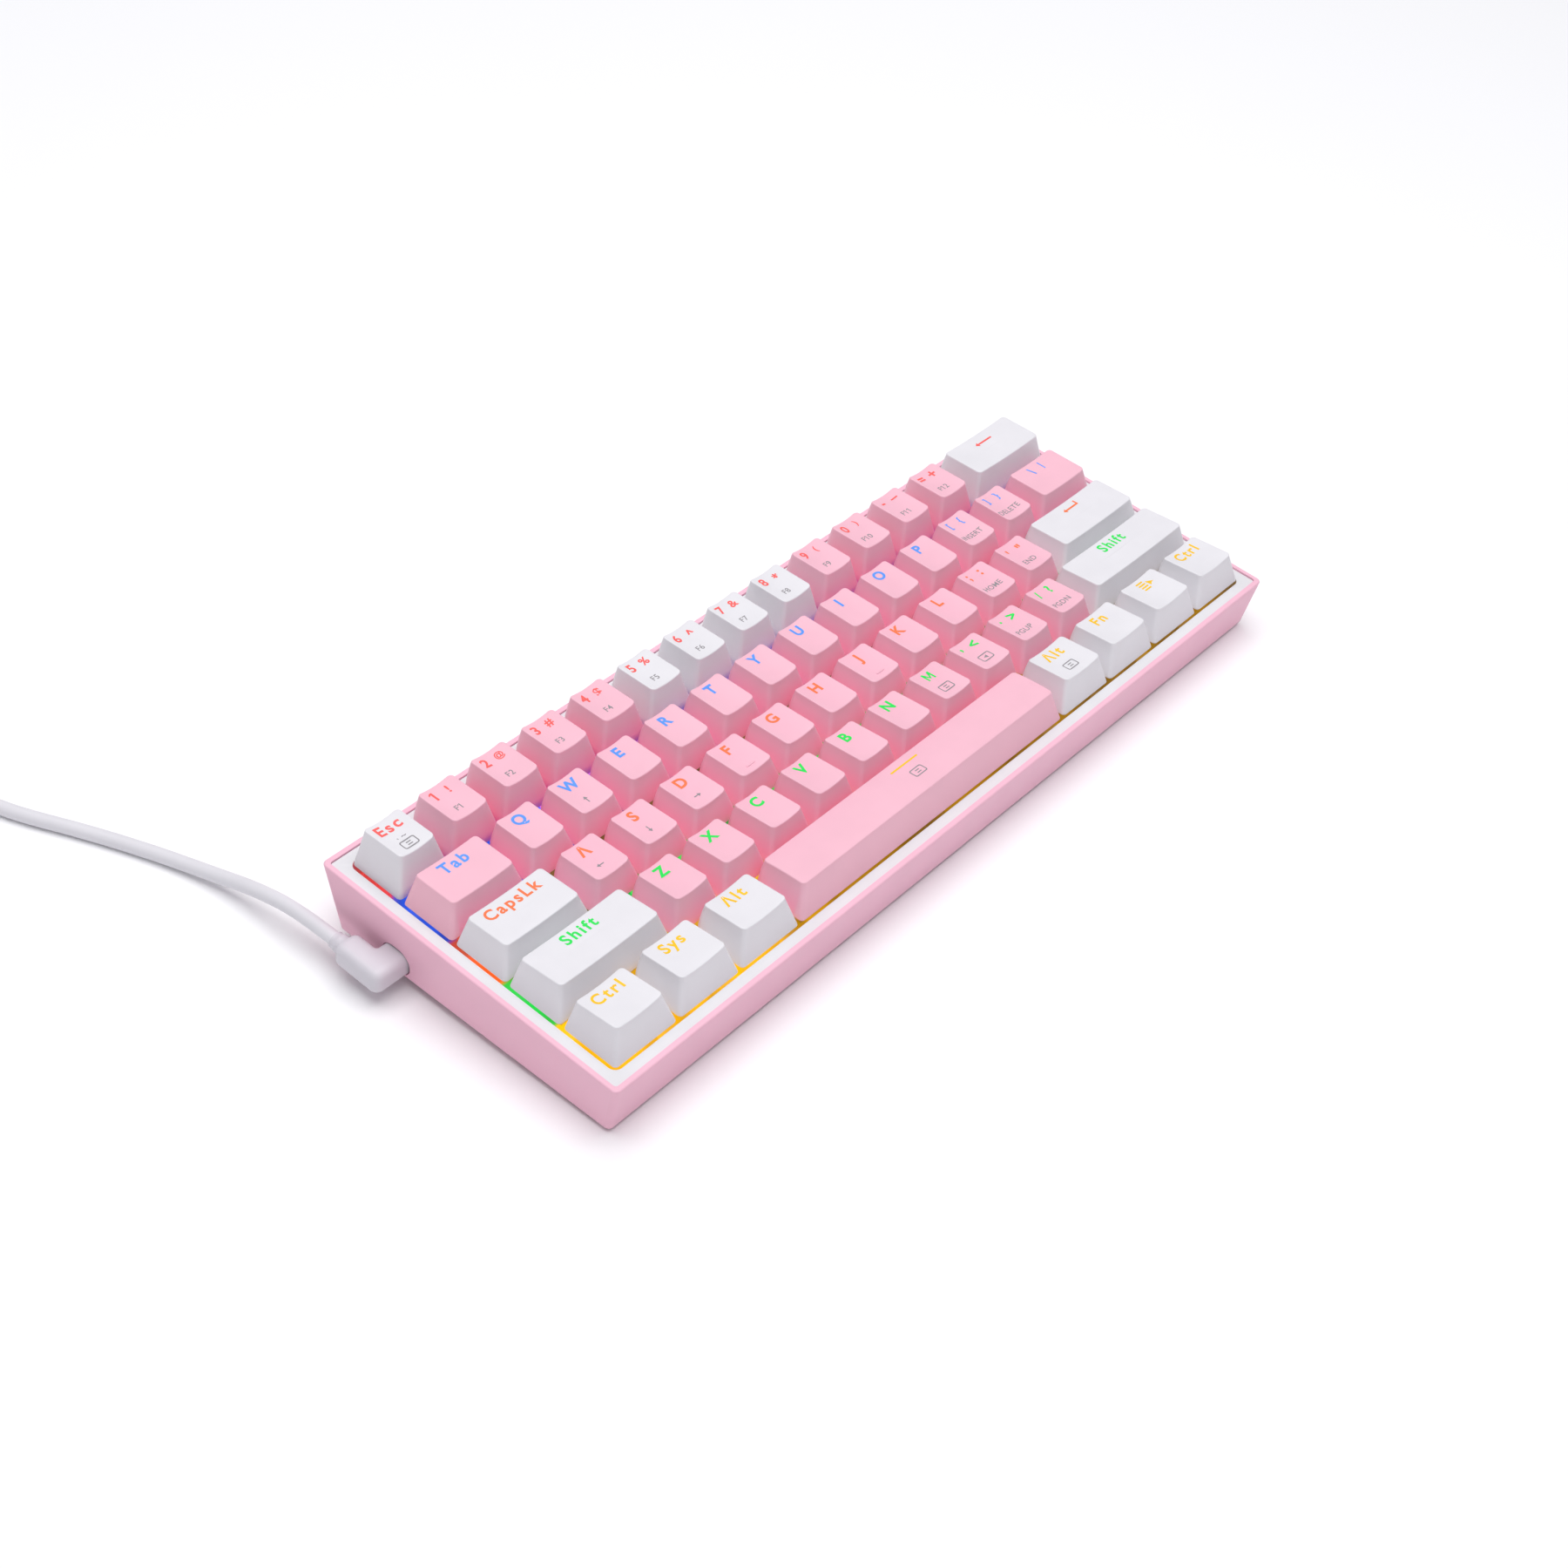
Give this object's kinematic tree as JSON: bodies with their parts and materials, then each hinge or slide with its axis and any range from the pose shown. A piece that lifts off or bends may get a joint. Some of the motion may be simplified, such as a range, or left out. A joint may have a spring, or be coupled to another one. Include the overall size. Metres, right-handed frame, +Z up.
{
  "type": "mechanical keyboard",
  "caption": "Compact mechanical keyboard: sprung sculpted keycaps on a plate in a two-part case with rubber feet, a side socket and a detachable cable.",
  "frame": {"origin": "on the surface that the keyboard stands on, under the middle of the case", "axes": "+X towards the typist's right along the rows of keys, +Y away from the typist, +Z up; the key plane is raised 4 degrees at the back"},
  "size_m": [0.3879, 0.2659, 0.0362],
  "materials": {
    "case_pink": "fine matt, moulded",
    "frame_white": "satin",
    "plate_paint": "satin white paint",
    "circuit_board": "solder mask",
    "switch_housing": "smoky moulded plastic",
    "spring_steel": "bright wire",
    "contact_brass": "bright",
    "led_lens": "clear lens",
    "stabiliser_plastic": "moulded",
    "wire_steel": "bright wire",
    "screw_steel": "zinc plated",
    "foot_rubber": "matt",
    "socket_steel": "stamped",
    "chip_plastic": "moulded epoxy",
    "plug_plastic": "satin white",
    "cable_jacket": "soft jacket",
    "key_pink": "satin",
    "key_white": "satin"
  },
  "bodies": {
    "base": {"bottom_case": "case_pink", "top_frame": "frame_white", "switch_plate": "plate_paint", "circuit_board": "circuit_board", "switch_housings": "switch_housing", "switch_springs": "spring_steel", "switch_contacts": "contact_brass", "backlight_leds": "led_lens", "stabiliser_housings": "stabiliser_plastic", "circuit_board_screws": "screw_steel", "rubber_feet": "foot_rubber", "usb_socket": "socket_steel", "controller_chip": "chip_plastic"},
    "cable": {"usb_c_plug": "plug_plastic", "usb_cable": "cable_jacket", "usb_cable_coil": "cable_jacket", "usb_a_plug": "plug_plastic"},
    "key_a": {"key_a": "key_pink"},
    "key_b": {"key_b": "key_pink"},
    "key_c": {"key_c": "key_pink"},
    "key_d": {"key_d": "key_pink"},
    "key_e": {"key_e": "key_pink"},
    "key_f": {"key_f": "key_pink"},
    "key_g": {"key_g": "key_pink"},
    "key_h": {"key_h": "key_pink"},
    "key_i": {"key_i": "key_pink"},
    "key_j": {"key_j": "key_pink"},
    "key_k": {"key_k": "key_pink"},
    "key_l": {"key_l": "key_pink"},
    "key_m": {"key_m": "key_pink"},
    "key_n": {"key_n": "key_pink"},
    "key_o": {"key_o": "key_pink"},
    "key_p": {"key_p": "key_pink"},
    "key_q": {"key_q": "key_pink"},
    "key_r": {"key_r": "key_pink"},
    "key_s": {"key_s": "key_pink"},
    "key_t": {"key_t": "key_pink"},
    "key_u": {"key_u": "key_pink"},
    "key_v": {"key_v": "key_pink"},
    "key_w": {"key_w": "key_pink"},
    "key_x": {"key_x": "key_pink"},
    "key_y": {"key_y": "key_pink"},
    "key_z": {"key_z": "key_pink"},
    "key_escape": {"key_escape": "key_white"},
    "key_backspace": {"key_backspace": "key_white"},
    "key_tab": {"key_tab": "key_pink"},
    "key_caps_lock": {"key_caps_lock": "key_white"},
    "key_enter": {"key_enter": "key_white"},
    "key_left_shift": {"key_left_shift": "key_white"},
    "key_right_shift": {"key_right_shift": "key_white"},
    "key_space": {"key_space": "key_pink"},
    "key_left_ctrl": {"key_left_ctrl": "key_white"},
    "key_left_alt": {"key_left_alt": "key_white"},
    "pink_number_and_symbol_keys": {"pink_number_and_symbol_keys": "key_pink"},
    "white_number_and_modifier_keys": {"white_number_and_modifier_keys": "key_white"},
    "stabiliser_wire_backspace": {"stabiliser_wire_backspace": "wire_steel"},
    "stabiliser_wire_enter": {"stabiliser_wire_enter": "wire_steel"},
    "stabiliser_wire_left_shift": {"stabiliser_wire_left_shift": "wire_steel"},
    "stabiliser_wire_right_shift": {"stabiliser_wire_right_shift": "wire_steel"},
    "stabiliser_wire_space": {"stabiliser_wire_space": "wire_steel"}
  },
  "joints": [
    {"name": "cable_unplug", "type": "slide", "parent": "base", "child": "cable", "axis": [-1, 0, 0], "range_m": [0, 0.008]},
    {"name": "key_a_press", "type": "slide", "parent": "base", "child": "key_a", "axis": [0, 0.0698, -0.9976], "range_m": [0, 0.004], "stiffness_N_per_m": 90, "springref_m": -0.0028, "deforming": ["switch_springs"]},
    {"name": "key_b_press", "type": "slide", "parent": "base", "child": "key_b", "axis": [0, 0.0698, -0.9976], "range_m": [0, 0.004], "stiffness_N_per_m": 90, "springref_m": -0.0028, "deforming": ["switch_springs"]},
    {"name": "key_c_press", "type": "slide", "parent": "base", "child": "key_c", "axis": [0, 0.0698, -0.9976], "range_m": [0, 0.004], "stiffness_N_per_m": 90, "springref_m": -0.0028, "deforming": ["switch_springs"]},
    {"name": "key_d_press", "type": "slide", "parent": "base", "child": "key_d", "axis": [0, 0.0698, -0.9976], "range_m": [0, 0.004], "stiffness_N_per_m": 90, "springref_m": -0.0028, "deforming": ["switch_springs"]},
    {"name": "key_e_press", "type": "slide", "parent": "base", "child": "key_e", "axis": [0, 0.0698, -0.9976], "range_m": [0, 0.004], "stiffness_N_per_m": 90, "springref_m": -0.0028, "deforming": ["switch_springs"]},
    {"name": "key_f_press", "type": "slide", "parent": "base", "child": "key_f", "axis": [0, 0.0698, -0.9976], "range_m": [0, 0.004], "stiffness_N_per_m": 90, "springref_m": -0.0028, "deforming": ["switch_springs"]},
    {"name": "key_g_press", "type": "slide", "parent": "base", "child": "key_g", "axis": [0, 0.0698, -0.9976], "range_m": [0, 0.004], "stiffness_N_per_m": 90, "springref_m": -0.0028, "deforming": ["switch_springs"]},
    {"name": "key_h_press", "type": "slide", "parent": "base", "child": "key_h", "axis": [0, 0.0698, -0.9976], "range_m": [0, 0.004], "stiffness_N_per_m": 90, "springref_m": -0.0028, "deforming": ["switch_springs"]},
    {"name": "key_i_press", "type": "slide", "parent": "base", "child": "key_i", "axis": [0, 0.0698, -0.9976], "range_m": [0, 0.004], "stiffness_N_per_m": 90, "springref_m": -0.0028, "deforming": ["switch_springs"]},
    {"name": "key_j_press", "type": "slide", "parent": "base", "child": "key_j", "axis": [0, 0.0698, -0.9976], "range_m": [0, 0.004], "stiffness_N_per_m": 90, "springref_m": -0.0028, "deforming": ["switch_springs"]},
    {"name": "key_k_press", "type": "slide", "parent": "base", "child": "key_k", "axis": [0, 0.0698, -0.9976], "range_m": [0, 0.004], "stiffness_N_per_m": 90, "springref_m": -0.0028, "deforming": ["switch_springs"]},
    {"name": "key_l_press", "type": "slide", "parent": "base", "child": "key_l", "axis": [0, 0.0698, -0.9976], "range_m": [0, 0.004], "stiffness_N_per_m": 90, "springref_m": -0.0028, "deforming": ["switch_springs"]},
    {"name": "key_m_press", "type": "slide", "parent": "base", "child": "key_m", "axis": [0, 0.0698, -0.9976], "range_m": [0, 0.004], "stiffness_N_per_m": 90, "springref_m": -0.0028, "deforming": ["switch_springs"]},
    {"name": "key_n_press", "type": "slide", "parent": "base", "child": "key_n", "axis": [0, 0.0698, -0.9976], "range_m": [0, 0.004], "stiffness_N_per_m": 90, "springref_m": -0.0028, "deforming": ["switch_springs"]},
    {"name": "key_o_press", "type": "slide", "parent": "base", "child": "key_o", "axis": [0, 0.0698, -0.9976], "range_m": [0, 0.004], "stiffness_N_per_m": 90, "springref_m": -0.0028, "deforming": ["switch_springs"]},
    {"name": "key_p_press", "type": "slide", "parent": "base", "child": "key_p", "axis": [0, 0.0698, -0.9976], "range_m": [0, 0.004], "stiffness_N_per_m": 90, "springref_m": -0.0028, "deforming": ["switch_springs"]},
    {"name": "key_q_press", "type": "slide", "parent": "base", "child": "key_q", "axis": [0, 0.0698, -0.9976], "range_m": [0, 0.004], "stiffness_N_per_m": 90, "springref_m": -0.0028, "deforming": ["switch_springs"]},
    {"name": "key_r_press", "type": "slide", "parent": "base", "child": "key_r", "axis": [0, 0.0698, -0.9976], "range_m": [0, 0.004], "stiffness_N_per_m": 90, "springref_m": -0.0028, "deforming": ["switch_springs"]},
    {"name": "key_s_press", "type": "slide", "parent": "base", "child": "key_s", "axis": [0, 0.0698, -0.9976], "range_m": [0, 0.004], "stiffness_N_per_m": 90, "springref_m": -0.0028, "deforming": ["switch_springs"]},
    {"name": "key_t_press", "type": "slide", "parent": "base", "child": "key_t", "axis": [0, 0.0698, -0.9976], "range_m": [0, 0.004], "stiffness_N_per_m": 90, "springref_m": -0.0028, "deforming": ["switch_springs"]},
    {"name": "key_u_press", "type": "slide", "parent": "base", "child": "key_u", "axis": [0, 0.0698, -0.9976], "range_m": [0, 0.004], "stiffness_N_per_m": 90, "springref_m": -0.0028, "deforming": ["switch_springs"]},
    {"name": "key_v_press", "type": "slide", "parent": "base", "child": "key_v", "axis": [0, 0.0698, -0.9976], "range_m": [0, 0.004], "stiffness_N_per_m": 90, "springref_m": -0.0028, "deforming": ["switch_springs"]},
    {"name": "key_w_press", "type": "slide", "parent": "base", "child": "key_w", "axis": [0, 0.0698, -0.9976], "range_m": [0, 0.004], "stiffness_N_per_m": 90, "springref_m": -0.0028, "deforming": ["switch_springs"]},
    {"name": "key_x_press", "type": "slide", "parent": "base", "child": "key_x", "axis": [0, 0.0698, -0.9976], "range_m": [0, 0.004], "stiffness_N_per_m": 90, "springref_m": -0.0028, "deforming": ["switch_springs"]},
    {"name": "key_y_press", "type": "slide", "parent": "base", "child": "key_y", "axis": [0, 0.0698, -0.9976], "range_m": [0, 0.004], "stiffness_N_per_m": 90, "springref_m": -0.0028, "deforming": ["switch_springs"]},
    {"name": "key_z_press", "type": "slide", "parent": "base", "child": "key_z", "axis": [0, 0.0698, -0.9976], "range_m": [0, 0.004], "stiffness_N_per_m": 90, "springref_m": -0.0028, "deforming": ["switch_springs"]},
    {"name": "key_escape_press", "type": "slide", "parent": "base", "child": "key_escape", "axis": [0, 0.0698, -0.9976], "range_m": [0, 0.004], "stiffness_N_per_m": 90, "springref_m": -0.0028, "deforming": ["switch_springs"]},
    {"name": "key_backspace_press", "type": "slide", "parent": "base", "child": "key_backspace", "axis": [0, 0.0698, -0.9976], "range_m": [0, 0.004], "stiffness_N_per_m": 90, "springref_m": -0.0028, "deforming": ["switch_springs"]},
    {"name": "key_tab_press", "type": "slide", "parent": "base", "child": "key_tab", "axis": [0, 0.0698, -0.9976], "range_m": [0, 0.004], "stiffness_N_per_m": 90, "springref_m": -0.0028, "deforming": ["switch_springs"]},
    {"name": "key_caps_lock_press", "type": "slide", "parent": "base", "child": "key_caps_lock", "axis": [0, 0.0698, -0.9976], "range_m": [0, 0.004], "stiffness_N_per_m": 90, "springref_m": -0.0028, "deforming": ["switch_springs"]},
    {"name": "key_enter_press", "type": "slide", "parent": "base", "child": "key_enter", "axis": [0, 0.0698, -0.9976], "range_m": [0, 0.004], "stiffness_N_per_m": 90, "springref_m": -0.0028, "deforming": ["switch_springs"]},
    {"name": "key_left_shift_press", "type": "slide", "parent": "base", "child": "key_left_shift", "axis": [0, 0.0698, -0.9976], "range_m": [0, 0.004], "stiffness_N_per_m": 90, "springref_m": -0.0028, "deforming": ["switch_springs"]},
    {"name": "key_right_shift_press", "type": "slide", "parent": "base", "child": "key_right_shift", "axis": [0, 0.0698, -0.9976], "range_m": [0, 0.004], "stiffness_N_per_m": 90, "springref_m": -0.0028, "deforming": ["switch_springs"]},
    {"name": "key_space_press", "type": "slide", "parent": "base", "child": "key_space", "axis": [0, 0.0698, -0.9976], "range_m": [0, 0.004], "stiffness_N_per_m": 90, "springref_m": -0.0028, "deforming": ["switch_springs"]},
    {"name": "key_left_ctrl_press", "type": "slide", "parent": "base", "child": "key_left_ctrl", "axis": [0, 0.0698, -0.9976], "range_m": [0, 0.004], "stiffness_N_per_m": 90, "springref_m": -0.0028, "deforming": ["switch_springs"]},
    {"name": "key_left_alt_press", "type": "slide", "parent": "base", "child": "key_left_alt", "axis": [0, 0.0698, -0.9976], "range_m": [0, 0.004], "stiffness_N_per_m": 90, "springref_m": -0.0028, "deforming": ["switch_springs"]},
    {"name": "pink_number_and_symbol_keys_press", "type": "slide", "parent": "base", "child": "pink_number_and_symbol_keys", "axis": [0, 0.0698, -0.9976], "range_m": [0, 0.004], "stiffness_N_per_m": 1440, "springref_m": -0.0028, "deforming": ["switch_springs"]},
    {"name": "white_number_and_modifier_keys_press", "type": "slide", "parent": "base", "child": "white_number_and_modifier_keys", "axis": [0, 0.0698, -0.9976], "range_m": [0, 0.004], "stiffness_N_per_m": 810, "springref_m": -0.0028, "deforming": ["switch_springs"]},
    {"name": "stabiliser_wire_backspace_turn", "type": "hinge", "parent": "base", "child": "stabiliser_wire_backspace", "pos_m": [0.12383, 0.04672, 0.01472], "axis": [1, 0, 0], "range_deg": [0, 29]},
    {"name": "stabiliser_wire_enter_turn", "type": "hinge", "parent": "base", "child": "stabiliser_wire_enter", "pos_m": [0.12144, 0.00871, 0.01206], "axis": [1, 0, 0], "range_deg": [0, 29]},
    {"name": "stabiliser_wire_left_shift_turn", "type": "hinge", "parent": "base", "child": "stabiliser_wire_left_shift", "pos_m": [-0.12144, -0.01029, 0.01073], "axis": [1, 0, 0], "range_deg": [0, 29]},
    {"name": "stabiliser_wire_right_shift_turn", "type": "hinge", "parent": "base", "child": "stabiliser_wire_right_shift", "pos_m": [0.11668, -0.01029, 0.01073], "axis": [1, 0, 0], "range_deg": [0, 29]},
    {"name": "stabiliser_wire_space_turn", "type": "hinge", "parent": "base", "child": "stabiliser_wire_space", "pos_m": [-0.01191, -0.0293, 0.0094], "axis": [1, 0, 0], "range_deg": [0, 29]}
  ],
  "couplings": [
    {"joint": "stabiliser_wire_backspace_turn", "follows": "key_backspace_press", "rad_per_m": 126.34},
    {"joint": "stabiliser_wire_enter_turn", "follows": "key_enter_press", "rad_per_m": 126.34},
    {"joint": "stabiliser_wire_left_shift_turn", "follows": "key_left_shift_press", "rad_per_m": 126.34},
    {"joint": "stabiliser_wire_right_shift_turn", "follows": "key_right_shift_press", "rad_per_m": 126.34},
    {"joint": "stabiliser_wire_space_turn", "follows": "key_space_press", "rad_per_m": 126.34}
  ]
}
